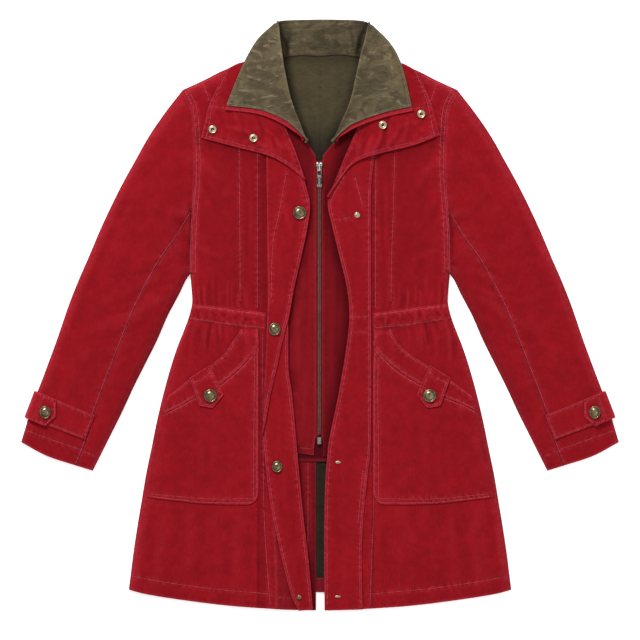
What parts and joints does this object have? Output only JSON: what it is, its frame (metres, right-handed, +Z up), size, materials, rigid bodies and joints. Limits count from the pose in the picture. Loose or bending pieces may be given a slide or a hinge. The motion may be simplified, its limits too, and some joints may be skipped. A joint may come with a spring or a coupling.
{
  "type": "anorak",
  "caption": "Thigh-length canvas anorak laid flat on its back, with spread collars, a storm flap that hangs open over a zip, a gathered waist and patch pockets.",
  "frame": {"origin": "on the surface the coat lies on, under the middle of its bounding box", "axes": "+Z up from the surface, +Y towards the collar, +X towards the wearer's left sleeve"},
  "size_m": [0.958, 0.9461, 0.0309],
  "materials": {
    "red_cloth": "washed and brushed cotton canvas, rubbed pale along its seams",
    "dark_red_cloth": "the same canvas in the shade of the hem and behind the zip",
    "olive_cloth": "crushed olive cloth with paler, irregular patches",
    "lining_cloth": "smooth dark olive lining",
    "antique_brass": "aged brass, dull with worn highlights",
    "zip_steel": "satin nickel-plated",
    "zip_bronze": "dark bronze teeth on red tape"
  },
  "bodies": {
    "coat": {"back_hem_facing": "dark_red_cloth", "back_lining": "lining_cloth", "back_panel": "red_cloth", "collar_back": "red_cloth", "collar_stand": "olive_cloth", "flap_cap_1": "antique_brass", "flap_cap_2": "antique_brass", "flap_cap_3": "antique_brass", "flap_hem_rivet": "antique_brass", "left_collar_edge": "red_cloth", "left_collar_socket_1": "antique_brass", "left_collar_socket_2": "antique_brass", "left_cuff_cap": "antique_brass", "left_cuff_keeper": "red_cloth", "left_cuff_strap": "red_cloth", "left_cuff_tab": "red_cloth", "left_front": "red_cloth", "left_inner_collar": "olive_cloth", "left_inner_panel": "red_cloth", "left_outer_collar": "red_cloth", "left_placket": "red_cloth", "left_pocket": "red_cloth", "left_pocket_band": "red_cloth", "left_pocket_cap": "antique_brass", "left_pocket_tab": "red_cloth", "left_sleeve_inner": "red_cloth", "left_sleeve_outer": "red_cloth", "left_sleeve_under": "red_cloth", "left_waist_casing": "red_cloth", "placket_stud_1": "antique_brass", "placket_stud_2": "antique_brass", "placket_stud_3": "antique_brass", "right_collar_edge": "red_cloth", "right_collar_socket_1": "antique_brass", "right_collar_socket_2": "antique_brass", "right_cuff_cap": "antique_brass", "right_cuff_keeper": "red_cloth", "right_cuff_strap": "red_cloth", "right_cuff_tab": "red_cloth", "right_front": "red_cloth", "right_inner_collar": "olive_cloth", "right_inner_panel": "red_cloth", "right_outer_collar": "red_cloth", "right_pocket": "red_cloth", "right_pocket_band": "red_cloth", "right_pocket_cap": "antique_brass", "right_pocket_tab": "red_cloth", "right_sleeve_inner": "red_cloth", "right_sleeve_outer": "red_cloth", "right_sleeve_under": "red_cloth", "right_underlap": "red_cloth", "right_waist_casing": "red_cloth", "storm_flap_lower": "red_cloth", "storm_flap_upper": "red_cloth", "zip_chain": "zip_bronze", "zip_guard": "dark_red_cloth", "zip_retainer": "zip_steel", "zip_slider": "zip_steel"},
    "pull": {"zip_pull": "zip_steel"}
  },
  "joints": [
    {"name": "pull_tab_hinge", "type": "hinge", "parent": "coat", "child": "pull", "pos_m": [-0.0011, 0.2326, 0.0149], "axis": [-1, 0, 0], "range_deg": [0, 150]}
  ]
}
